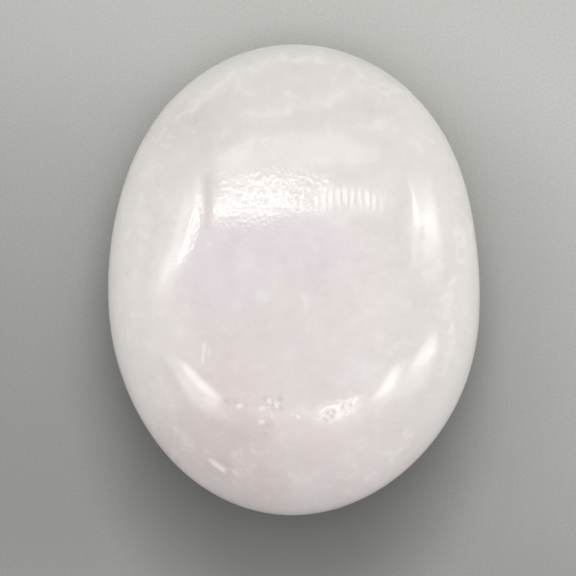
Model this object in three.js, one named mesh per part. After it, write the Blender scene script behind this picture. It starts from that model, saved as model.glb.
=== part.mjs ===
// A palm stone: an oval of milky, faintly pink mineral, ground and polished to sit in a closed hand.
// It is one solid piece. Its upper face is a broad plateau with a slight dome, squarish in plan, and its
// underside is a rounder dome with a small flat spot ground on it, which it rests on. A soft shoulder
// leads from each face to a rounded flank, and the two flanks meet at the girth, its widest line.
// Millimetres. +Z is up and +Y runs along the stone. The origin is on the flat spot, under the middle.
import * as THREE from "three";

// The whole stone
const LENGTH = 63;
const WIDTH = 49.6;
const THICKNESS = 23;
const GIRTH_HEIGHT = 11.2;

// The girth's plan is an ellipse with low waves on it, left by grinding by hand
const GIRTH_WAVES = [
  { lobes: 3, height: 0.13, turn: -102 },
  { lobes: 4, height: 0.21, turn: -163 },
  { lobes: 5, height: 0.1, turn: -122 },
];
// The girth also wanders up and down a little on its way round. The wander fades towards each face with
// this power of the distance from the middle.
const GIRTH_WANDER = 0.3;
const WANDER_TURN = 40;
const WANDER_REACH = 4;

// The upper face. Its rise is from the girth to the top of its dome. The plateau's edge is a loop of
// edgeRadius with waves on it that draw it out at its corners. The flank is part of a larger rounded
// body that would rise to bodyRise. Sharpness sets how tight the shoulder is.
const CROWN = {
  rise: THICKNESS - GIRTH_HEIGHT,
  bodyRise: 12.95,
  domeRadius: 110,
  edgeRadius: 17.4,
  edgeWaves: [
    { lobes: 1, height: 0.19, turn: -14 },
    { lobes: 2, height: 1.25, turn: 142 },
    { lobes: 3, height: 0.64, turn: -103 },
    { lobes: 4, height: 0.91, turn: 125 },
    { lobes: 5, height: 0.58, turn: -113 },
    { lobes: 6, height: 0.2, turn: -25 },
  ],
  centre: new THREE.Vector2(0.7, -0.1),
  sharpness: 41,
};

// The underside, with the flat spot that it rests on
const FLAT_SPOT_RADIUS = 6.5;
const UNDERSIDE_DOME_RADIUS = 100;
const UNDERSIDE = {
  rise: GIRTH_HEIGHT + FLAT_SPOT_RADIUS ** 2 / (2 * UNDERSIDE_DOME_RADIUS),
  bodyRise: 12.5,
  domeRadius: UNDERSIDE_DOME_RADIUS,
  edgeRadius: 18.95,
  edgeWaves: [
    { lobes: 2, height: 1.75, turn: 180 },
    { lobes: 4, height: 0.2, turn: 180 },
  ],
  centre: new THREE.Vector2(0, 0),
  sharpness: 24,
};

// How finely the surface is faceted: sides round the stone, and rings on each part of its profile
const SIDES = 72;
const CROWN_RINGS = 28;
const UNDERSIDE_RINGS = 22;
const RINGS = CROWN_RINGS + UNDERSIDE_RINGS + 1;

// What a loop's waves add to its radius at a turn about Z: each is a cosine of its lobes.
function wavesAt(waves, turn) {
  return waves
    .map((wave) => wave.height * Math.cos(wave.lobes * turn - THREE.MathUtils.degToRad(wave.turn)))
    .reduce((sum, height) => sum + height, 0);
}

// Distance from the middle to the girth: the polar radius of an ellipse, plus the waves.
function girthRadius(turn) {
  const across = Math.cos(turn) / (WIDTH / 2);
  const along = Math.sin(turn) / (LENGTH / 2);
  return 1 / Math.hypot(across, along) + wavesAt(GIRTH_WAVES, turn);
}

// Height of a face's shallow dome over the point at a radius and a turn: rise - d^2 / 2R, where d is
// the distance from the dome's own centre.
function domeHeight(face, radius, turn) {
  const point = new THREE.Vector2(radius * Math.cos(turn), radius * Math.sin(turn));
  return face.rise - point.distanceToSquared(face.centre) / (2 * face.domeRadius);
}

// Distance from the middle of the stone to the edge of a face's plateau.
function plateauEdge(face, turn) {
  return face.edgeRadius + wavesAt(face.edgeWaves, turn);
}

// Height of the rounded body over the point at a share s of the way to the girth, which is
// bodyRise * sqrt((1 - s^2) (1 - c s^2)). It stands upright at the girth, and c is what makes it cross
// the dome at the plateau's edge.
function bodyHeight(face, share, turn) {
  const edge = plateauEdge(face, turn);
  const edgeShare = (edge / girthRadius(turn)) ** 2;
  const edgeHeight = (domeHeight(face, edge, turn) / face.bodyRise) ** 2;
  const taper = (1 - edgeHeight / (1 - edgeShare)) / edgeShare;
  const square = share * share;
  return face.bodyRise * Math.sqrt((1 - square) * (1 - taper * square));
}

// Height of the finished face above the girth: the lower of dome and body, blended over the shoulder
// by the power mean (dome^-k + body^-k)^(-1/k).
function faceHeight(face, share, turn) {
  if (share === 1) return 0;
  const body = bodyHeight(face, share, turn);
  const dome = domeHeight(face, share * girthRadius(turn), turn);
  return dome * (1 + (dome / body) ** face.sharpness) ** (-1 / face.sharpness);
}

// Height of the girth line itself, above or below its mean.
function girthWander(turn) {
  return GIRTH_WANDER * Math.cos(2 * turn - THREE.MathUtils.degToRad(WANDER_TURN));
}

// A point of the surface. Ring 0 is the middle of the crown, the ring CROWN_RINGS is the girth, the last
// ring but one is the rim of the flat spot, and the last ring is the middle of the flat spot.
function surfacePoint(ring, turn, target) {
  const girth = girthRadius(turn);
  if (ring >= RINGS - 1) {
    const radius = ring === RINGS ? 0 : FLAT_SPOT_RADIUS;
    return target.set(radius * Math.cos(turn), radius * Math.sin(turn), -GIRTH_HEIGHT);
  }
  if (ring <= CROWN_RINGS) {
    const share = Math.sin((Math.PI / 2) * (ring / CROWN_RINGS));
    const height = faceHeight(CROWN, share, turn) + girthWander(turn) * share ** WANDER_REACH;
    return target.set(share * girth * Math.cos(turn), share * girth * Math.sin(turn), height);
  }
  // Each section of the underside is scaled so that it meets the flat spot at its rim
  const rimShare = FLAT_SPOT_RADIUS / girth;
  const rimAngle = Math.asin(rimShare);
  const way = (ring - CROWN_RINGS) / UNDERSIDE_RINGS;
  const share = Math.sin(THREE.MathUtils.lerp(Math.PI / 2, rimAngle, way));
  const scale = GIRTH_HEIGHT / faceHeight(UNDERSIDE, rimShare, turn);
  const fromRim = (share - rimShare) / (1 - rimShare);
  const depth = scale * faceHeight(UNDERSIDE, share, turn) - girthWander(turn) * fromRim ** WANDER_REACH;
  return target.set(share * girth * Math.cos(turn), share * girth * Math.sin(turn), -depth);
}

// The stone's surface: a sphere's grid of rings and sides, with each of its points moved to its place.
function stoneGeometry() {
  const geometry = new THREE.SphereGeometry(1, SIDES, RINGS);
  const { position, uv } = geometry.attributes;
  const point = new THREE.Vector3();
  for (let i = 0; i < position.count; i++) {
    const ring = Math.round((1 - uv.getY(i)) * RINGS);
    const side = ring === 0 || ring === RINGS ? 0 : Math.round(uv.getX(i) * SIDES) % SIDES;
    surfacePoint(ring, (side / SIDES) * 2 * Math.PI, point);
    position.setXYZ(i, point.x, point.y, point.z);
  }
  return geometry;
}

// Brings the stone to its exact length, width and thickness, with the flat spot on Z = 0.
function fitToSize(geometry) {
  geometry.computeBoundingBox();
  const size = geometry.boundingBox.getSize(new THREE.Vector3());
  const middle = geometry.boundingBox.getCenter(new THREE.Vector3());
  geometry.translate(-middle.x, -middle.y, -geometry.boundingBox.min.z);
  geometry.scale(WIDTH / size.x, LENGTH / size.y, THICKNESS / size.z);
  geometry.computeVertexNormals();
  return geometry;
}

const milkyStone = new THREE.MeshStandardMaterial({ color: 0xe4dbd9, roughness: 0.15, metalness: 0 });

const palmStone = new THREE.Mesh(fitToSize(stoneGeometry()), milkyStone);
palmStone.name = "palm_stone";

const part = new THREE.Group();
part.add(palmStone);

export default part;
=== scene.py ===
import bpy
import numpy as np
from mathutils import Euler, Matrix, Vector


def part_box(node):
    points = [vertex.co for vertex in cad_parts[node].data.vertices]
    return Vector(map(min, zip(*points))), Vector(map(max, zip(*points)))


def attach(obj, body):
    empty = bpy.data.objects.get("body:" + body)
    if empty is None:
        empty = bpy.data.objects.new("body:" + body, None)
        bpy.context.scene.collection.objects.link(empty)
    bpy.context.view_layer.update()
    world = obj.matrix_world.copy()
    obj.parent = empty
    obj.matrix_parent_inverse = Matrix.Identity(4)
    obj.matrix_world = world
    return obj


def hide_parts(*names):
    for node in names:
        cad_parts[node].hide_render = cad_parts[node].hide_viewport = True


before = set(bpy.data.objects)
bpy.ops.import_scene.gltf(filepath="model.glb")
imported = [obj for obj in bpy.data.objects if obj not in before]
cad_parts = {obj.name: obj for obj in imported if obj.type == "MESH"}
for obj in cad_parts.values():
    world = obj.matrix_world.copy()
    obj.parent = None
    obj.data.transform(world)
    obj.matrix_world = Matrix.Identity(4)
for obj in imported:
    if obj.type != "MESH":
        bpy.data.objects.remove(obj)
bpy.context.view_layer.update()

# Camera
# It looks straight down from about 30 cm above the stone, with the stone's length up the picture. The
# stone lies a little right of and above the middle of the picture, so the camera stands off to the
# other side by as much.
MM = 0.001
PICTURE_SIDE = 576
STONE_LENGTH_IN_PICTURE = 471.7
STONE_MIDDLE_IN_PICTURE = (294.0, 279.8)
LENS = 135
SENSOR = 36

stone_low, stone_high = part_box("palm_stone")
stone_middle = (stone_low + stone_high) / 2
pixel = (stone_high.y - stone_low.y) / STONE_LENGTH_IN_PICTURE
camera_data = bpy.data.cameras.new("camera")
camera_data.lens = LENS
camera_data.sensor_width = SENSOR
camera_data.clip_start = 10 * MM
camera = bpy.data.objects.new("camera", camera_data)
camera.location = (
    stone_middle.x + (PICTURE_SIDE / 2 - STONE_MIDDLE_IN_PICTURE[0]) * pixel,
    stone_middle.y - (PICTURE_SIDE / 2 - STONE_MIDDLE_IN_PICTURE[1]) * pixel,
    stone_middle.z + PICTURE_SIDE * pixel * LENS / SENSOR,
)
bpy.context.scene.collection.objects.link(camera)
bpy.context.scene.camera = camera

# The stone's form
# One piece of milky mineral, sawn, ground on a wheel and polished: a shallow dome above, a rounder one
# with a small flat spot below, and rounded flanks that join at the girth. Each of a loop's waves is its
# number of lobes, its height and its phase in degrees.
WIDTH = 49.6 * MM
LENGTH = 63 * MM
THICKNESS = 23 * MM
GIRTH_HEIGHT = 11.2 * MM
GIRTH_WAVES = ((3, 0.13 * MM, -102), (4, 0.21 * MM, -163), (5, 0.1 * MM, -122))
GIRTH_WANDER = 0.3 * MM
WANDER_TURN = 40
WANDER_REACH = 4
FLAT_SPOT_RADIUS = 6.5 * MM
UNDERSIDE_DOME_RADIUS = 100 * MM
CROWN = {
    "rise": THICKNESS - GIRTH_HEIGHT,
    "body_rise": 12.95 * MM,
    "dome_radius": 110 * MM,
    "edge_radius": 17.4 * MM,
    "edge_waves": (
        (1, 0.19 * MM, -14), (2, 1.25 * MM, 142), (3, 0.64 * MM, -103),
        (4, 0.91 * MM, 125), (5, 0.58 * MM, -113), (6, 0.2 * MM, -25),
    ),
    "centre": (0.7 * MM, -0.1 * MM),
    "sharpness": 41,
}
UNDERSIDE = {
    "rise": GIRTH_HEIGHT + FLAT_SPOT_RADIUS**2 / (2 * UNDERSIDE_DOME_RADIUS),
    "body_rise": 12.5 * MM,
    "dome_radius": UNDERSIDE_DOME_RADIUS,
    "edge_radius": 18.95 * MM,
    "edge_waves": ((2, 1.75 * MM, 180), (4, 0.2 * MM, 180)),
    "centre": (0, 0),
    "sharpness": 24,
}
SIDES = 560
CROWN_RINGS = 136
UNDERSIDE_RINGS = 38
# Keeps the blend of dome and body from dividing by nothing at the girth
LEAST_HEIGHT = 1e-9


def with_waves(radius, waves, turn):
    """Radius of a loop that has those waves on it, each a cosine of some lobes to the turn."""
    swells = (height * np.cos(lobes * turn - np.radians(phase)) for lobes, height, phase in waves)
    return radius + sum(swells)


def girth_radius(turn):
    """Distance from the middle to the girth: an ellipse's polar radius with low waves on it."""
    ellipse = 1 / np.hypot(np.cos(turn) / (WIDTH / 2), np.sin(turn) / (LENGTH / 2))
    return with_waves(ellipse, GIRTH_WAVES, turn)


def girth_wander(turn):
    """Height of the girth above its mean, which rises and falls twice on its way round."""
    return GIRTH_WANDER * np.cos(2 * turn - np.radians(WANDER_TURN))


def dome_height(face, radius, turn):
    """Height of a face's shallow dome: its rise less the squared distance from its centre over 2R."""
    from_centre_x = radius * np.cos(turn) - face["centre"][0]
    from_centre_y = radius * np.sin(turn) - face["centre"][1]
    return face["rise"] - (from_centre_x**2 + from_centre_y**2) / (2 * face["dome_radius"])


def plateau_edge(face, turn):
    """Distance from the middle to the edge of a face's plateau: a rounded square with its own waves."""
    return with_waves(face["edge_radius"], face["edge_waves"], turn)


def body_height(face, share, turn):
    """Height of the rounded body: rise * sqrt((1 - s^2) (1 - c s^2)), which crosses the dome at the edge."""
    edge = plateau_edge(face, turn)
    edge_share = (edge / girth_radius(turn)) ** 2
    edge_height = (dome_height(face, edge, turn) / face["body_rise"]) ** 2
    taper = (1 - edge_height / (1 - edge_share)) / edge_share
    return face["body_rise"] * np.sqrt(np.maximum((1 - share**2) * (1 - taper * share**2), 0))


def face_height(face, share, turn):
    """Height of a finished face: the lower of dome and body, blended by (d^-k + b^-k)^(-1/k)."""
    body = np.maximum(body_height(face, share, turn), LEAST_HEIGHT)
    dome = dome_height(face, share * girth_radius(turn), turn)
    return dome * (1 + (dome / body) ** face["sharpness"]) ** (-1 / face["sharpness"])


def crown_z(share, turn):
    """Height of the crown: its face's, plus the girth's wander, which fades towards the middle."""
    return face_height(CROWN, share, turn) + girth_wander(turn) * share**WANDER_REACH


def underside_z(share, turn):
    """Height of the underside: its face's, scaled to meet the flat spot's rim, and the fading wander."""
    rim_share = FLAT_SPOT_RADIUS / girth_radius(turn)
    scale = GIRTH_HEIGHT / face_height(UNDERSIDE, rim_share, turn)
    from_rim = (share - rim_share) / (1 - rim_share)
    return girth_wander(turn) * from_rim**WANDER_REACH - scale * face_height(UNDERSIDE, share, turn)


def stone_surface(way, turn):
    """Point of the surface, on the way from the crown's middle, 0, by the girth, 1, to the flat spot, 2."""
    girth = girth_radius(turn)
    rim_angle = np.arcsin(FLAT_SPOT_RADIUS / girth)
    crown_share = np.sin(np.pi / 2 * np.minimum(way, 1))
    under_share = np.sin(np.pi / 2 + (rim_angle - np.pi / 2) * np.clip(way - 1, 0, 1))
    share = np.where(way <= 1, crown_share, under_share)
    z = np.where(way <= 1, crown_z(crown_share, turn), underside_z(under_share, turn))
    return np.stack((share * girth * np.cos(turn), share * girth * np.sin(turn), z), -1)


def closed_mesh(name, rings, top, bottom):
    """Closed mesh of a grid of rings, each a loop of points, with a pole above and a pole below."""
    count, sides, _ = rings.shape
    points = np.concatenate((rings.reshape(-1, 3), [top, bottom]))
    ring, side = np.meshgrid(np.arange(count - 1), np.arange(sides), indexing="ij")
    after = (side + 1) % sides
    quads = np.stack((ring * sides + side, (ring + 1) * sides + side,
                      (ring + 1) * sides + after, ring * sides + after), -1).reshape(-1, 4)
    side = np.arange(sides)
    after = (side + 1) % sides
    last = (count - 1) * sides
    top_fan = np.stack((np.full(sides, count * sides), side, after), -1)
    bottom_fan = np.stack((np.full(sides, count * sides + 1), last + after, last + side), -1)
    mesh = bpy.data.meshes.new(name)
    mesh.from_pydata(points.tolist(), [], quads.tolist() + top_fan.tolist() + bottom_fan.tolist())
    mesh.polygons.foreach_set("use_smooth", np.ones(len(mesh.polygons), bool))
    return mesh


def outward(rings, top, bottom):
    """Unit normal at each point of the rings: the cross product of the grid's steps along and round."""
    around = np.roll(rings, -1, 1) - np.roll(rings, 1, 1)
    padded = np.concatenate((top + 0 * rings[:1], rings, bottom + 0 * rings[:1]))
    normal = np.cross(padded[2:] - padded[:-2], around)
    return normal / np.linalg.norm(normal, axis=-1, keepdims=True)


ways = np.concatenate((
    np.arange(1, CROWN_RINGS + 1) / CROWN_RINGS,
    1 + np.arange(1, UNDERSIDE_RINGS + 1) / UNDERSIDE_RINGS,
))
turns = np.arange(SIDES) / SIDES * 2 * np.pi
way_grid, turn_grid = np.meshgrid(ways, turns, indexing="ij")
rings = stone_surface(way_grid, turn_grid)
# The poles are the middles of the crown and of the flat spot, whose rim is the last ring
poles = stone_surface(np.array([0.0, 2.0]), np.array([0.0, 0.0]))
poles[1, :2] = 0

# The stone's marks of grinding and wear
# Grinding by hand leaves faint waves all over, apart from the flat spot. A knock has bruised the near
# left flank, and a feathery crack opens on the right of the upper face. All are cut into the surface.
# A path is a line of points seen from above, in millimetres.
WAVE_COUNT = 24
WAVE_LENGTHS = (6 * MM, 15 * MM)
WAVE_HEIGHT = 0.003 * MM
WAVE_SEED = 11
BRUISE = [((-10.9, -23.4), (-9.1, -24.8))]
BRUISE_HALF_WIDTH = 0.3
BRUISE_DEPTH = 0.06 * MM
CRACK = [
    ((11.9, -9.1), (12.8, -9.0), (13.6, -8.2), (14.3, -7.9)),
    ((12.5, -9.6), (13.2, -9.1)),
    ((14.3, -7.3), (14.9, -8.0)),
]
CRACK_HALF_WIDTH = 0.25
CRACK_DEPTH = 0.02 * MM


def sine_waves(points, lengths, height, seed):
    """Sum of sine waves of that height that run through the stone in random directions."""
    random = np.random.default_rng(seed)
    total = np.zeros(points.shape[:-1])
    for _ in range(WAVE_COUNT):
        direction = random.normal(size=3)
        direction /= np.linalg.norm(direction)
        length = random.uniform(*lengths)
        phase = random.uniform(0, 2 * np.pi)
        total += height * np.sin(2 * np.pi * points @ direction / length + phase)
    return total


def strokes(x, y, paths, half_width):
    """Soft strokes on the upper face: a bell of the distance in plan to the nearest path, 1 on it."""
    nearest = np.full(x.shape, np.inf)
    for path in paths:
        for start, end in zip(path, path[1:]):
            (x0, y0), (run, rise) = start, np.subtract(end, start)
            share = np.clip(((x - x0) * run + (y - y0) * rise) / (run**2 + rise**2), 0, 1)
            nearest = np.minimum(nearest, np.hypot(x - x0 - share * run, y - y0 - share * rise))
    return np.exp(-((nearest / half_width) ** 2)) * (way_grid <= 1)


x, y = rings[..., 0] / MM, rings[..., 1] / MM
relief = sine_waves(rings, WAVE_LENGTHS, WAVE_HEIGHT, WAVE_SEED) * (way_grid < 2 - 1 / UNDERSIDE_RINGS)
relief -= BRUISE_DEPTH * strokes(x, y, BRUISE, BRUISE_HALF_WIDTH)
relief -= CRACK_DEPTH * strokes(x, y, CRACK, CRACK_HALF_WIDTH)
rings = rings + outward(rings, poles[0], poles[1]) * relief[..., None]

# The finished surface is brought to the box of the CAD solid
everything = np.concatenate((rings.reshape(-1, 3), poles))
size = np.array(stone_high - stone_low) / (everything.max(0) - everything.min(0))
offset = np.array(stone_low) - everything.min(0) * size
rings = rings * size + offset
poles = poles * size + offset
stone_mesh = closed_mesh("milky_stone", rings, poles[0], poles[1])
stone = bpy.data.objects.new("milky_stone", stone_mesh)
bpy.context.scene.collection.objects.link(stone)

# The stone's masks
# Where its look changes, as paths like those above: milky veils, clouds and flakes, dark patches and
# painted shade, scars and chipped grains partly painted as glints, the wheel's grain and ripples, pits
# painted dark as shade, and the flanks. The veils are drawn in a
# plane that is a little crumpled, which makes them curl.
CRUMPLE_LENGTHS = (1.5 * MM, 5 * MM)
CRUMPLE = 0.09
CRUMPLE_SEEDS = (5, 6)
VEILS = [
    ((-14.6, 21.4), (-10.7, 24.2), (-8.1, 26.4), (-4.9, 27.9), (-1, 28.8)),
    ((-1, 28.8), (3.2, 28.8), (7.4, 27.8), (10.3, 25.9), (12.7, 24.6)),
    ((-6.6, 20.9), (-4.1, 21.6), (-1.3, 21.6), (-0.5, 22.8), (1.2, 22.3)),
    ((1.2, 22.3), (2.4, 23.1), (4.7, 23.4), (6.7, 24.4)),
    ((8.6, 19.5), (11.7, 20.4)),
    ((19.7, -0.8), (20.2, -6.6), (19.6, -12.1)),
]
CLOUDS = [
    ((-15.9, -18.9), (-14.4, -19.7), (-14.3, -21)),
    ((-18.9, 13.6), (-19.8, 7.7), (-20.1, -0.1)),
    ((-7.5, -22.6), (-3.3, -22.2)),
    ((6.4, -21.4), (8.5, -21.1)),
    ((8.4, 25), (9.5, 26.3)),
    ((-9.4, 25.3), (-6.4, 27)),
    ((13.7, 23.1), (14, 22.1)),
    ((-9, 15.6), (-6.9, 15.7)),
    ((7.5, 14.9), (10.1, 15.3)),
    ((-6, 3.5), (-6.4, 0.4)),
    ((-4.3, -11.3), (-4.2, -13)),
    ((-1.3, -20.3), (-1.1, -21.9)),
    ((-1.1, -23.8), (1.3, -25.4)),
    ((-16.7, -15.3), (-16.1, -16)),
    ((14.4, -21.4), (15.5, -20.8)),
    ((-7.5, -24.1), (-5.7, -26)),
]
FLAKES = [
    ((-0.9, 23.8), (-0.6, 22.7)),
    ((-6.6, 21), (-5.8, 21.8)),
    ((-9.7, 18.9), (-9.5, 18.8)),
    ((13, 18.8), (13.1, 18.7)),
    ((15.6, 17.7), (15.9, 17.2)),
    ((-4.6, -2.8), (-4.1, -1.8), (-3.4, -2.2)),
    ((1.2, -2.3), (1.6, -3.7)),
    ((-10.8, 4.6), (-10.6, 4.5)),
    ((-14, 2.1), (-13.9, 1.2)),
    ((7, -21.3), (8.3, -21.3)),
    ((6.5, -22.9), (7.2, -22.5)),
    ((7.8, -23.4), (8, -23.4)),
    ((6.8, -25.9), (7.4, -25.5)),
    ((9.5, -26), (10.6, -25.6)),
    ((14.4, -21.2), (15.2, -20.8)),
    ((12.6, -22.6), (13.9, -22)),
    ((-1.3, -20.3), (-1.1, -21.4)),
    ((-1, -24.6), (-0.2, -26)),
    ((0.8, -24.3), (1.3, -25.1)),
    ((-8, -24.4), (-7.3, -25.2)),
    ((-6, -26), (-5.7, -26.8)),
    ((-11.5, -15.8), (-10.3, -15.9)),
    ((19.3, -2.2), (19.7, -2.4)),
    ((21.2, 6.6), (21.3, 2.4)),
    ((22.9, 9), (23.1, 3.4)),
    ((12.8, -23.4), (13.4, -24)),
    ((-15.3, -19.2), (-14.4, -20.8)),
]
# A darker patch on the far left flank, painted shade on the near flank, and a painted dark gap between two
# mirrored lights
FAR_LEFT_DARK_PATCH = [((-17.5, 18.9), (-12.2, 20.7))]
NEAR_PAINTED_SHADE = [((-14.5, -20.5), (-9.5, -24.5), (-5.5, -27)), ((-9, -17), (-7, -21))]
MILKY_SIDE = [((8.5, 4), (8.5, -14))]
PAINTED_DARK_GAP = [((-11.1, 13), (-11.2, 7))]
GRAIN = [((-8.4, 11), (1, 11))]
FAR_GRAIN = [((-8.8, 13.4), (3.5, 13.4))]
NEAR_GRAIN = [((-8.7, 7.3), (-4, 7.3))]
SIDE_GRAIN = [((-12.3, 9), (-13.1, 5), (-14.8, 1.8))]
LOW_GRAIN = [((3.8, -17.5), (5.7, -17.2), (7.6, -16))]
RIPPLES = [((5.4, 10.4), (11.5, 10.4))]
FAINT_RIPPLES = [((1.5, 10.6), (5, 10.4))]
# Chipped grains on the lower shoulder: real relief, painted white partly as painted glints
CHIPS_AND_GLINTS = [
    ((-8.2, -16), (-6.7, -16)),
    ((-4.5, -16.5), (-2.2, -15.8)),
    ((-4.3, -18.2), (-4.1, -19.2)),
    ((-3.1, -17.8), (0.6, -17.6)),
    ((3.4, -17.4), (5.7, -17.2), (8, -15.7)),
]
# The bruise's bright core and the scratches are white marks, part real scar and part painted glint
BRUISE_CORE_AND_GLINT = [((-10.4, -23.85), (-9.25, -24.7))]
# The bruise's rims are painted dark as painted shade
BRUISE_RIM_SHADE = [((-9.2, -23.7), (-8.3, -24.5)), ((-11, -24.2), (-9.3, -25.3))]
SCRATCH_AND_GLINT = [((-11.5, -8.1), (-11.8, -10.6))]
SCRATCH_BESIDE_AND_GLINT = [((-10.9, -8.6), (-11.0, -9.8))]
# Painted glints: white marks that stand for the lamps mirrored in tiny chips on the lower shoulder
PAINTED_GLINTS = [
    ((-7.2, -16.2), (-6.9, -16.1)),
    ((-3.3, -15.4), (-3.2, -15.7)),
    ((-2.4, -15.8), (-2.3, -16.2)),
    ((-4.3, -16.5), (-3.9, -16.4)),
    ((-4.4, -18.2), (-4.1, -18.2)),
    ((0.4, -17.5), (0.5, -17.6)),
    ((5.6, -16.7), (6, -15.6)),
    ((6.6, -16.2), (7.1, -15.3)),
    ((7.5, -15.8), (7.9, -15)),
]
# Pits, painted dark as painted shade where they lose the mirrored lights; the faint ones lie beside the
# glints
PITS = [
    ((16.3, 6.5), (16.4, 6.6)),
    ((16.3, 5.6), (16.4, 5.6)),
    ((5, -16.8), (5, -16.9)),
    ((4.7, -17.5), (4.9, -17.6)),
    ((3.9, -17.9), (4.1, -18.1)),
    ((4.2, -17), (4.2, -17.1)),
    ((6.2, -15.8), (6.1, -16.3)),
    ((7.1, -15.4), (7, -16)),
]
FAINT_PITS = [
    ((-8.9, -15.5), (-8.5, -15.7)),
    ((-7.6, -15.6), (-7.4, -15.9)),
    ((-3.7, -15.3), (-3.6, -15.5)),
    ((-2.8, -15.7), (-2.7, -16.2)),
    ((-1.8, -15.1), (-1.8, -15.3)),
    ((-1.8, -16.2), (-1.8, -16.4)),
    ((-4.4, -18.7), (-4.1, -18.7)),
    ((-3.6, -18.6), (-3.3, -18.6)),
    ((-3.9, -19.8), (-3.6, -19.9)),
]
# The flanks' painted shade and duller polish start at this share of the way to the plateau's edge, and are
# full this much further on
FLANK_START = 0.9
FLANK_RUN = 0.2


def strongest(x, y, marks):
    """The strongest of some marks at each point. A mark is its strength, its paths and their half-width."""
    return np.maximum.reduce([
        np.minimum(strength * strokes(x, y, paths, half_width), 1) for strength, paths, half_width in marks
    ])


def store(name, values):
    """Keeps a value for each point of the stone under a name, for its material. The poles have none."""
    attribute = stone_mesh.attributes.new(name, "FLOAT", "POINT")
    attribute.data.foreach_set("value", np.concatenate((values.ravel(), [0, 0])).astype(np.float32))


crumpled_x = x + sine_waves(rings, CRUMPLE_LENGTHS, CRUMPLE, CRUMPLE_SEEDS[0])
crumpled_y = y + sine_waves(rings, CRUMPLE_LENGTHS, CRUMPLE, CRUMPLE_SEEDS[1])
store("veils", strongest(crumpled_x, crumpled_y, (
    (0.6, VEILS, 0.6),
    (0.27, CLOUDS, 1.2),
    (0.65, FLAKES, 0.45),
    (0.7, CRACK, 0.3),
    (0.45, MILKY_SIDE, 4),
)))
# A darker patch on the far left, and painted shade: on the near flank, in a dark gap between two mirrored
# lights, and round the glints and the bruise
store("dark_patch_and_painted_shade", strongest(x, y, (
    (0.5, FAR_LEFT_DARK_PATCH, 3.5),
    (0.8, NEAR_PAINTED_SHADE, 4.5),
    (0.65, PAINTED_DARK_GAP, 0.55),
    (0.5, PAINTED_GLINTS, 0.5),
    (0.5, BRUISE, 0.7),
)))
# White marks: the real bruise and scratches, partly painted glints, and the painted glints of the lower
# shoulder
store("scars_and_painted_glints", strongest(x, y, (
    (1, BRUISE, 0.25),
    (1.6, BRUISE_CORE_AND_GLINT, 0.3),
    (0.9, SCRATCH_AND_GLINT, 0.2),
    (0.4, SCRATCH_BESIDE_AND_GLINT, 0.2),
    (1.5, PAINTED_GLINTS, 0.22),
)))
store("grain", strongest(x, y, (
    (0.42, GRAIN, 1.8),
    (0.5, FAR_GRAIN, 1.3),
    (0.28, NEAR_GRAIN, 1.7),
    (0.3, SIDE_GRAIN, 1.4),
    (0.2, LOW_GRAIN, 1.3),
)))
store("ripples", strongest(x, y, ((0.36, RIPPLES, 1.8), (0.24, FAINT_RIPPLES, 1.8))))
store("chips_and_glints", strongest(x, y, ((1, CHIPS_AND_GLINTS, 0.7),)))
# Pits and the bruise's rims: painted shade in the colour, and a duller polish
store("pits_and_painted_shade", strongest(x, y, (
    (0.58, PITS, 0.28),
    (0.8, FAINT_PITS, 0.28),
    (0.5, BRUISE_RIM_SHADE, 0.4),
)))
plateau_share = np.hypot(rings[..., 0], rings[..., 1]) / plateau_edge(CROWN, turn_grid)
flank = np.clip((plateau_share - FLANK_START) / FLANK_RUN, 0, 1)
store("flank", np.where(way_grid > 1, 1, flank))

# The stone's material
# Milky mineral lets light in a few millimetres deep. It is pink in the middle and near end and lilac on
# the far half of the upper face, all faintly, with whiter clouds, wisps and flecks in it, and its flanks
# are painted darker as painted shade. Its polish is duller on the wheel's grain and in the pits.
stone_material = bpy.data.materials.new("polished_milky_stone")
stone_material.use_nodes = True
tree = stone_material.node_tree


def feed(socket, value):
    """Links the socket to another node's output, or gives it a value."""
    if isinstance(value, bpy.types.NodeSocket):
        tree.links.new(value, socket)
    else:
        socket.default_value = value


def add(kind, settings, *values, **named):
    """A shader node of that kind, with its inputs fed in order, or by name."""
    made = tree.nodes.new("ShaderNode" + kind)
    for name, value in settings.items():
        setattr(made, name, value)
    for socket, value in zip(made.inputs, values):
        feed(socket, value)
    for name, value in named.items():
        feed(made.inputs[name.replace("_", " ")], value)
    return made.outputs


def blend(share, first, second):
    """Colour that runs from the first to the second as the share goes from 0 to 1."""
    return add("MixRGB", {}, share, first, second)[0]


def rising(value, low, high, top=1.0):
    """Value from 0 at low to the top at high, with soft ends."""
    return add("MapRange", {"interpolation_type": "SMOOTHSTEP"}, value, low, high, 0.0, top)[0]


def plus(first, second):
    """Sum of two values."""
    return add("Math", {"operation": "ADD"}, first, second)[0]


def times(first, second):
    """Product of two values."""
    return add("Math", {"operation": "MULTIPLY"}, first, second)[0]


def lesser(first, second):
    """The lesser of two values."""
    return add("Math", {"operation": "MINIMUM"}, first, second)[0]


def greater(first, second):
    """The greater of two values."""
    return add("Math", {"operation": "MAXIMUM"}, first, second)[0]


def noise(size, detail=2.0, distortion=0.0, roughness=0.5):
    """Cloudy value about 0.5 in the piece's own space, whose clouds have that size."""
    return add("TexNoise", {}, Vector=coordinates, Scale=1 / size, Detail=detail, Roughness=roughness,
               Distortion=distortion)["Fac"]


def cells(size):
    """Cells of that size in the stone's own space: the distance to the nearest centre, and its colour."""
    return add("TexVoronoi", {}, Vector=coordinates, Scale=1 / size)


def lot(made_cells):
    """A random value for each cell, from 0 to 1."""
    return add("SeparateColor", {}, made_cells["Color"])[0]


def stored(name):
    """The value that the mesh keeps under that name."""
    return add("Attribute", {"attribute_name": name})["Fac"]


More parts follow.
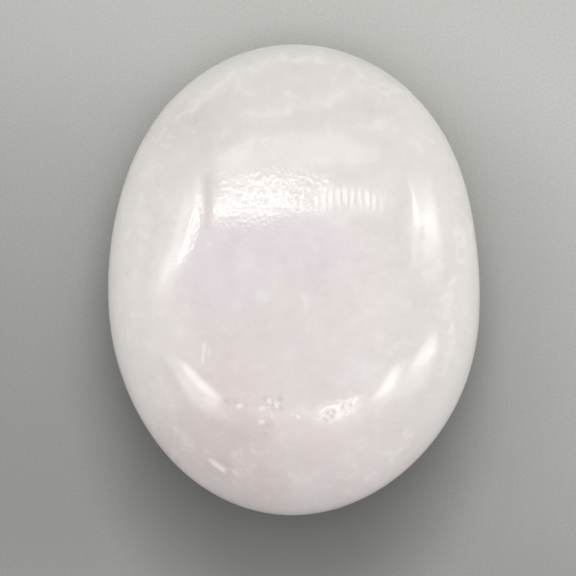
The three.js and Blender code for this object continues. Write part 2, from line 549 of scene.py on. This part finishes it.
def patch(centre, radii):
    """Squared distance from a centre, in units of those radii. Both are in millimetres."""
    centre = [side * MM for side in centre]
    radii = [side * MM for side in radii]
    scaled = add("Mapping", {"vector_type": "TEXTURE"}, coordinates, centre, (0, 0, 0), radii)[0]
    return add("VectorMath", {"operation": "DOT_PRODUCT"}, scaled, scaled)["Value"]


MILK = (0.86, 0.83, 0.803, 1)
VEIL = (0.97, 0.936, 0.905, 1)
SMOKE_AND_SHADE = (0.76, 0.715, 0.69, 1)
SCAR_AND_GLINT_WHITE = (1, 0.96, 0.93, 1)
PIT_SHADE = (0.6, 0.54, 0.52, 1)
PINK_TINT = (1.025, 0.985, 1.005, 1)
LILAC_TINT = (1.02, 0.973, 1.065, 1)
UNTINTED = (1, 1, 1, 1)
PINK_PLACES = [((-2, -12, 12), (18, 30, 60)), ((-3, -27, 8), (27, 14, 40))]
LILAC_PLACES = [((-2, 4, 22), (14, 6, 20)), ((-9, 1, 22), (8, 8, 20))]
CLOUD_SIZE = 5 * MM
WISP_SIZE = 8 * MM
WISP_TURN = (0.3, 0.2, -0.3)
WISP_SHORTENING = (0.4, 1.2, 1.0)
FEATHER_SIZE = 2 * MM
FLECK_SIZE = 3 * MM
CHIP_SIZE = 0.8 * MM
GRAIN_SIZE = 0.62 * MM
RIPPLE_LENGTH = 0.93 * MM
RIPPLE_WANDER = 0.4 * MM
RIPPLE_PATCH = 1.5 * MM
BUMP_HEIGHT = 0.06 * MM
CHIP_FRAYING = 0.3 * MM
GRAIN_FRAYING = 0.4 * MM
PINK_CLOUDS = 14 * MM
LILAC_CLOUDS = 6 * MM
FROST_CLOUDS = 4 * MM
GLOW_DEPTH = 9 * MM
REFRACTION = 1.56
coordinates = add("TexCoord", {})["Object"]

# Clouds, smoky patches, wisps, veils and flecks inside the stone, and painted shade on the flanks
clouds = noise(CLOUD_SIZE, detail=6.0, distortion=0.3, roughness=0.72)
colour = blend(rising(clouds, 0.5, 0.72, 0.42), MILK, VEIL)
# The flanks are painted darker as painted shade, on top of the clouds' smoky patches
smoke_and_flank_shade = plus(rising(clouds, 0.5, 0.3, 0.35), times(stored("flank"), 0.25))
# Darkens the colour by the far left patch and by the painted shade of the dark-patch mask
colour = blend(plus(smoke_and_flank_shade, stored("dark_patch_and_painted_shade")), colour, SMOKE_AND_SHADE)
drawn_out = add("Mapping", {}, coordinates, (0, 0, 0), WISP_TURN, WISP_SHORTENING)[0]
wisps = add("TexNoise", {"noise_type": "RIDGED_MULTIFRACTAL"}, Vector=drawn_out, Scale=1 / WISP_SIZE,
            Detail=5.0, Distortion=0.3)["Fac"]
colour = blend(rising(wisps, 0.5, 1.1, 0.35), colour, VEIL)
feathers = noise(FEATHER_SIZE, detail=5.0, distortion=0.4, roughness=0.65)
colour = blend(rising(feathers, 0.5, 0.7, 0.3), colour, VEIL)
colour = blend(times(rising(feathers, 0.25, 0.65), stored("veils")), colour, VEIL)
fleck_cells = cells(FLECK_SIZE)
fleck = times(rising(fleck_cells["Distance"], 0.2, 0.0), rising(lot(fleck_cells), 0.7, 1.0))
colour = blend(times(fleck, feathers), colour, VEIL)

# Pits, scars and chipped grains in its surface: pits and the bruise's rims painted dark as painted shade,
# scars and chips painted white, partly as painted glints
colour = blend(times(stored("pits_and_painted_shade"), 0.8), colour, PIT_SHADE)
# Chipped grains: relief, and white paint that is partly a painted glint
chip_cells = cells(CHIP_SIZE)
chip_edge = plus(chip_cells["Distance"], times(noise(CHIP_FRAYING), 0.5))
chip_and_glint = times(rising(chip_edge, 0.6, 0.4), rising(lot(chip_cells), 0.3, 0.5))
chip_and_glint = times(chip_and_glint, stored("chips_and_glints"))
# Scars and chipped grains are painted white, partly as painted glints, and scatter at the surface
white = greater(stored("scars_and_painted_glints"), chip_and_glint)
colour = blend(white, colour, SCAR_AND_GLINT_WHITE)

# The pink and the lilac cast
pink = lesser(*[patch(centre, radii) for centre, radii in PINK_PLACES])
pink = plus(pink, times(noise(PINK_CLOUDS), -1.2))
lilac = lesser(*[patch(centre, radii) for centre, radii in LILAC_PLACES])
lilac = rising(plus(lilac, noise(LILAC_CLOUDS)), 1.5, 0.3, 0.8)
tint = blend(lilac, blend(rising(pink, 0.9, -0.5), UNTINTED, PINK_TINT), LILAC_TINT)
colour = add("MixRGB", {"blend_type": "MULTIPLY"}, 1.0, colour, tint)[0]

# The wheel's grain and its ripples, and the relief of the grain and of the chipped grains
grain = plus(cells(GRAIN_SIZE)["Distance"], times(noise(GRAIN_FRAYING), 0.4))
dots = times(rising(grain, 0.7, 0.4), stored("grain"))
across = plus(add("SeparateXYZ", {}, coordinates)["X"], times(noise(RIPPLE_PATCH), RIPPLE_WANDER))
ripple = add("Math", {"operation": "SINE"}, times(across, 2 * np.pi / RIPPLE_LENGTH))[0]
stripes = times(rising(ripple, 0.3, -0.7), times(stored("ripples"), rising(noise(RIPPLE_PATCH), 0.2, 0.45)))
worn_and_shaded = greater(dots, stripes)
# The worn dots and stripes are also painted darker: painted shade that deepens their gaps in the mirrored
# lights
colour = blend(times(worn_and_shaded, 0.3), colour, SMOKE_AND_SHADE)
height = times(grain, plus(times(stored("grain"), 0.75), 0.03))
height = plus(height, times(chip_and_glint, -0.4))
bump = add("Bump", {}, Strength=1.0, Distance=BUMP_HEIGHT, Height=height)[0]

# The polish, which is duller in patches, on the flanks and where it is worn or pitted
frost = rising(noise(FROST_CLOUDS, detail=3.0), 0.45, 0.75, 0.05)
frost = plus(frost, plus(times(stored("flank"), 0.05), 0.09))
frost = plus(frost, times(worn_and_shaded, 0.7))
frost = plus(frost, times(stored("pits_and_painted_shade"), 0.5))

shader = tree.nodes["Principled BSDF"]
feed(shader.inputs["Base Color"], colour)
feed(shader.inputs["Roughness"], frost)
feed(shader.inputs["Normal"], bump)
shader.inputs["IOR"].default_value = REFRACTION
feed(shader.inputs["Subsurface Weight"], plus(times(white, -0.85), 1.0))
shader.inputs["Subsurface Radius"].default_value = (1.0, 0.9, 0.85)
shader.inputs["Subsurface Scale"].default_value = GLOW_DEPTH
stone_mesh.materials.append(stone_material)
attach(stone, "root")
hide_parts("palm_stone")

# Floor
# A plain grey cloth, matt, which the stone lies on. It is painted paler towards the far side as a painted
# fall of light, and darker close round the stone and under it as painted shade and a painted shadow.
FLOOR_HALF = 3.0
FLOOR_DROP = 0.02 * MM
CLOTH_NEAR_PAINTED_DIM = (0.355, 0.358, 0.346, 1)
CLOTH_FAR_PAINTED_LIT = (0.625, 0.63, 0.6, 1)
CLOTH_PAINTED_SHADOW = (0.12, 0.125, 0.12, 1)
CLOTH_SPECK = (0.1, 0.105, 0.1, 1)
SPECK_SIZE = 0.35 * MM
CLOTH_CLOUDS = 12 * MM
CLOUD_SHIFT = 6 * MM
PALING_TURN = 25
PALING_FROM = -45 * MM
PALING_TO = 50 * MM
PAINTED_SHADE_AROUND_STONE = ((5, -4, 0), (34, 36, 1000))
PAINTED_SHADOW_UNDER_STONE = ((-1, -12, 0), (29, 40, 1000))
floor_mesh = bpy.data.meshes.new("floor")
corners = [(-1, -1, 0), (1, -1, 0), (1, 1, 0), (-1, 1, 0)]
floor_mesh.from_pydata((np.array(corners) * FLOOR_HALF).tolist(), [], [(0, 1, 2, 3)])
floor = bpy.data.objects.new("floor", floor_mesh)
floor.location.z = -FLOOR_DROP
bpy.context.scene.collection.objects.link(floor)

# The functions for shader nodes now add to the cloth's own tree and read its coordinates
floor_material = bpy.data.materials.new("grey_cloth")
floor_material.use_nodes = True
tree = floor_material.node_tree
coordinates = add("TexCoord", {})["Object"]
uneven = noise(CLOTH_CLOUDS, detail=3.0)
# Painted fall of light: the cloth is painted paler towards the far side
turned = add("Mapping", {}, coordinates, (0, 0, 0), (0, 0, np.radians(PALING_TURN)))[0]
away = plus(add("SeparateXYZ", {}, turned)["Y"], times(uneven, CLOUD_SHIFT))
colour = blend(rising(away, PALING_FROM, PALING_TO), CLOTH_NEAR_PAINTED_DIM, CLOTH_FAR_PAINTED_LIT)
# Painted shade close round the stone, and a painted shadow under it that reaches past its near end
around = patch(*PAINTED_SHADE_AROUND_STONE)
colour = blend(rising(around, 1.5, 0.3, 0.2), colour, CLOTH_PAINTED_SHADOW)
painted_shadow_under = plus(patch(*PAINTED_SHADOW_UNDER_STONE), times(uneven, 0.1))
colour = blend(rising(painted_shadow_under, 1.25, 0.3, 0.77), colour, CLOTH_PAINTED_SHADOW)
colour = blend(rising(noise(SPECK_SIZE, detail=3.0), 0.3, 0.7, 0.10), colour, CLOTH_SPECK)
cloth = tree.nodes["Principled BSDF"]
feed(cloth.inputs["Base Color"], colour)
cloth.inputs["Roughness"].default_value = 0.9
floor_mesh.materials.append(floor_material)

# Lights
# Soft panels round the stone, which its polish mirrors, large dim washes that light its body, and the
# pale room. A bearing is the turn from +X, a lean the angle from upright; glow is brightness as a
# multiple of white paper's in full light.
LIGHT_DISTANCE = 0.6
ROOM_GLOW = 0.45
LAMP = (1, 0.985, 0.97)
TUBE = (0.95, 1, 0.975)


def area_light(name, bearing, lean, wide, high, glow, roll=0):
    """A flat light turned to the stone, which sees it wide across and high, in degrees.

    Its power is pi times its glow times its area.
    """
    data = bpy.data.lights.new(name, "AREA")
    data.shape = "RECTANGLE"
    data.size, data.size_y = 2 * LIGHT_DISTANCE * np.tan(np.radians((wide, high)) / 2)
    data.energy = np.pi * glow * data.size * data.size_y
    light = bpy.data.objects.new(name, data)
    turned = Euler((np.radians(lean), 0, np.radians(bearing + 90))).to_matrix()
    light.location = turned @ Vector((0, 0, LIGHT_DISTANCE)) + stone_middle
    light.rotation_euler = (turned @ Matrix.Rotation(np.radians(roll), 3, "Z")).to_euler()
    light.visible_camera = False
    bpy.context.scene.collection.objects.link(light)
    return light


def panel(*angles_and_glow, roll=0, colour=LAMP):
    """A light that is only mirrored in the polish: a faintly warm lamp, or a tube, faintly green."""
    light = area_light(*angles_and_glow, roll=roll)
    light.data.color = colour
    light.visible_diffuse = False


def wash(*angles_and_glow):
    """A light that isn't mirrored in the polish."""
    area_light(*angles_and_glow).visible_glossy = False


panel("bar", 95.8, 13.4, 31.4, 2.9, 6.4, roll=-2, colour=TUBE)
panel("bar_far", 119.2, 17.6, 19.6, 4.4, 4.8, roll=-18, colour=TUBE)
panel("bar_middle", 93.2, 15.1, 15.1, 4.8, 2.5, roll=-22, colour=TUBE)
panel("bar_fringe", 95.8, 28.6, 33.4, 15.9, 1.7, roll=19, colour=TUBE)
panel("left_core", 155.4, 32.8, 4.4, 9, 8.2, roll=-5)
panel("left_inner", 153.6, 30.8, 4.2, 4.3, 5.1, roll=17)
panel("left_edge", 150.3, 37.2, 3.5, 15.7, 2.4, roll=-25)
panel("left_panel", 160.6, 42.6, 8.1, 11.9, 3.2, roll=-18)
panel("left_fringe", 167.1, 43.3, 14.4, 36.1, 1.8, roll=-2)
panel("right_core", 24.7, 35.8, 5.1, 10, 8, roll=24)
panel("right_panel", 15.5, 45.6, 7.8, 40, 2.4)
panel("right_fringe", 20.2, 53.8, 18.7, 36.6, 1.8, roll=-13)
panel("right_low_fringe", 8.9, 52.8, 10.8, 27.8, 2)
panel("lower_left_strip", -131.3, 31.2, 12.1, 5.5, 5.5, roll=-19, colour=TUBE)
panel("lower_left_fringe", -129, 40.6, 16, 17, 2, roll=32)
panel("lower_right_strip", -46.9, 33.9, 8.6, 7.4, 6.8, roll=36)
panel("lower_right_panel", -23.9, 55, 7.3, 22.1, 4.3, roll=32)
panel("lower_right_fringe", -34.6, 51.8, 14.1, 33.1, 1.9, roll=28)
panel("near_lamp", -72, 30.5, 10, 9, 7.4, roll=-18)
panel("near_strip", -104, 28, 20, 10, 0.7)
panel("near_fringe", -92, 37, 60, 17, 0.9)

wash("above_wash", 0, 0, 40, 40, 2.2)
wash("left_wash", 157, 76, 20, 20, 5.2)
wash("right_wash", 12, 74, 20, 20, 6.5)

world = bpy.data.worlds.new("room")
world.use_nodes = True
background = world.node_tree.nodes["Background"]
background.inputs["Color"].default_value = (1, 1, 1, 1)
background.inputs["Strength"].default_value = ROOM_GLOW
bpy.context.scene.world = world
bpy.context.scene.view_settings.view_transform = "Standard"
